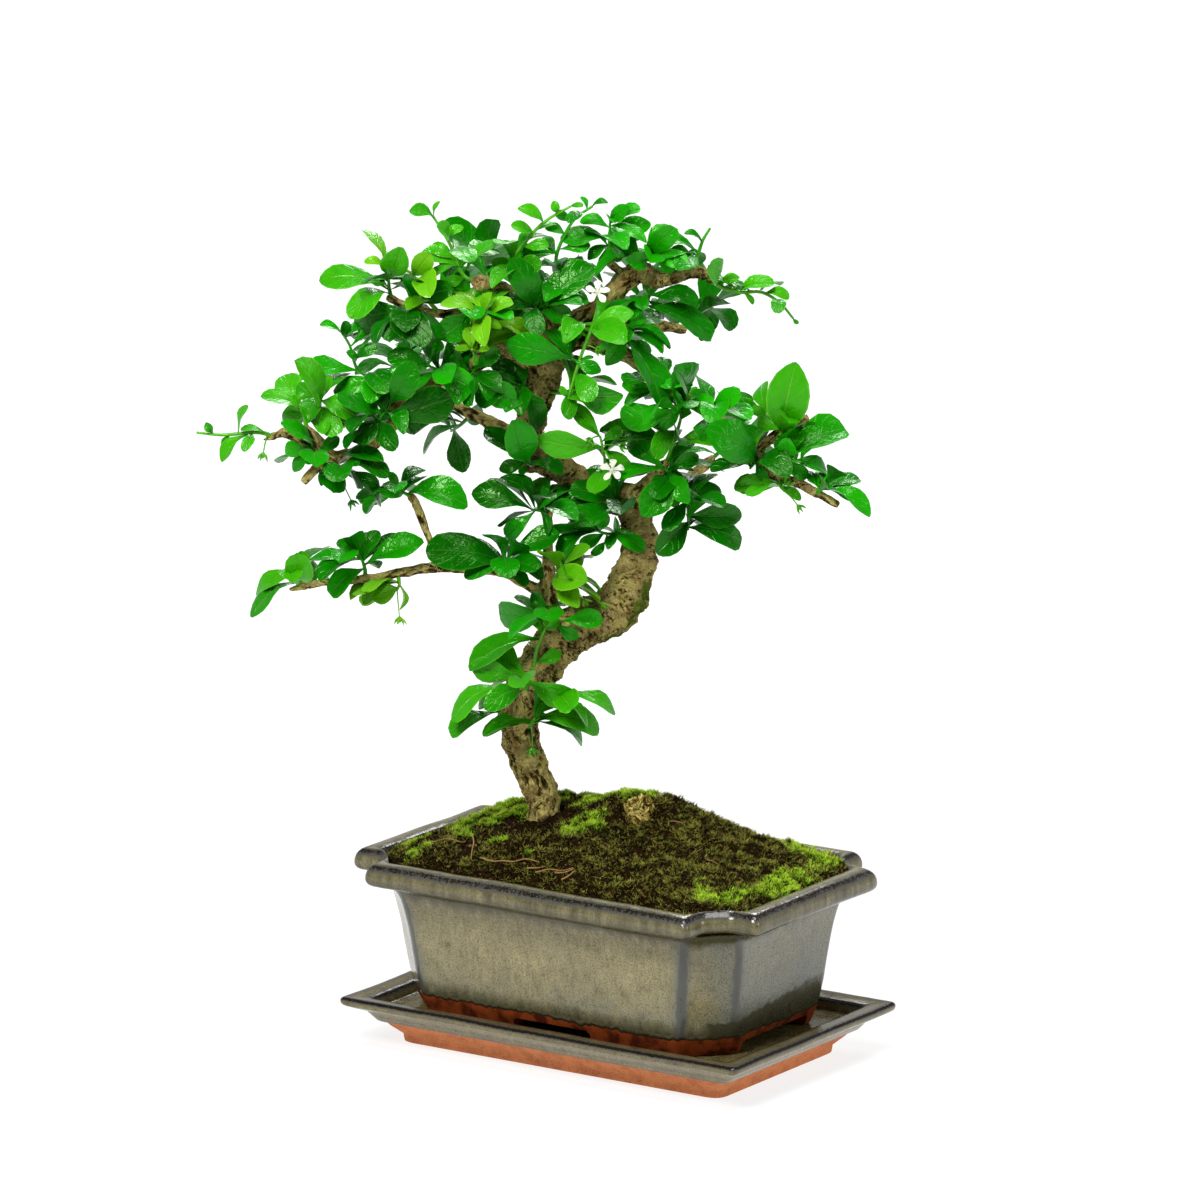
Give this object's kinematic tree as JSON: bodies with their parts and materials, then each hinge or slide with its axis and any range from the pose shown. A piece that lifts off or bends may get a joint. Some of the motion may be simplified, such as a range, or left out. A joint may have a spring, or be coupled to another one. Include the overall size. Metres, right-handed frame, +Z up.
{
  "type": "fukien tea bonsai",
  "caption": "small indoor bonsai with a curved trunk and glossy spoon-shaped leaves, planted in a glazed rectangular pot with indented corners that stands on a shallow drip tray",
  "frame": {"origin": "middle of the drip tray's underside, on the surface that it stands on", "axes": "+Z up; X along the long side of the pot and tray; -Y is the front, the long side that faces the picture"},
  "size_m": [0.2358, 0.2052, 0.3509],
  "materials": {
    "tray_glaze": "speckled olive glaze, gloss",
    "pot_glaze": "mottled olive glaze, gloss",
    "soil": "moist dark potting soil, matt",
    "bark": "rough bark, matt",
    "leaf_dark": "waxy dark green leaf",
    "leaf_mid": "waxy green leaf",
    "leaf_bright": "satin bright green leaf",
    "leaf_young": "satin yellow-green young leaf",
    "petal": "thin white petal",
    "dry_moss": "dry moss, matt"
  },
  "bodies": {
    "root": {"drip_tray": "tray_glaze", "dry_moss_tuft": "dry_moss", "flower_1": "petal", "flower_2": "petal", "pot": "pot_glaze", "soil": "soil", "spray_back_left": "leaf_mid", "spray_back_low_left": "leaf_dark", "spray_back_low_right": "leaf_mid", "spray_back_right": "leaf_mid", "spray_back_top_left": "leaf_mid", "spray_back_top_right": "leaf_dark", "spray_bend_front": "leaf_mid", "spray_bend_left": "leaf_dark", "spray_branch_big": "leaf_dark", "spray_branch_mid": "leaf_mid", "spray_branch_tip": "leaf_bright", "spray_branch_under": "leaf_young", "spray_branchlet": "leaf_bright", "spray_branchlet_low": "leaf_bright", "spray_centre_big": "leaf_dark", "spray_crossing_stem": "leaf_bright", "spray_dark_hanging": "leaf_dark", "spray_far_left": "leaf_bright", "spray_inner_left": "leaf_mid", "spray_inner_shelf": "leaf_dark", "spray_knob": "leaf_mid", "spray_left_front": "leaf_dark", "spray_left_low": "leaf_dark", "spray_left_low_big": "leaf_dark", "spray_left_mid": "leaf_mid", "spray_left_shelf": "leaf_mid", "spray_left_tip": "leaf_mid", "spray_left_up": "leaf_bright", "spray_low_rosette": "leaf_young", "spray_mid_arch": "leaf_dark", "spray_outer_left": "leaf_bright", "spray_pad_left": "leaf_dark", "spray_pad_low": "leaf_bright", "spray_pad_right": "leaf_mid", "spray_pad_tip": "leaf_mid", "spray_pad_top": "leaf_bright", "spray_pale_fan": "leaf_bright", "spray_right_limb": "leaf_mid", "spray_right_low": "leaf_dark", "spray_right_ridge": "leaf_mid", "spray_right_shoot": "leaf_bright", "spray_rosette": "leaf_young", "spray_stem_right": "leaf_young", "spray_top_centre": "leaf_dark", "spray_top_left_shoot": "leaf_bright", "spray_top_right": "leaf_mid", "spray_top_shoots": "leaf_mid", "spray_trunk_front": "leaf_dark", "spray_trunk_left": "leaf_mid", "spray_twig_top": "leaf_mid", "spray_under_right": "leaf_dark", "spray_up_left": "leaf_bright", "spray_yellow_shoot": "leaf_young", "trunk_and_branches": "bark"}
  },
  "joints": []
}
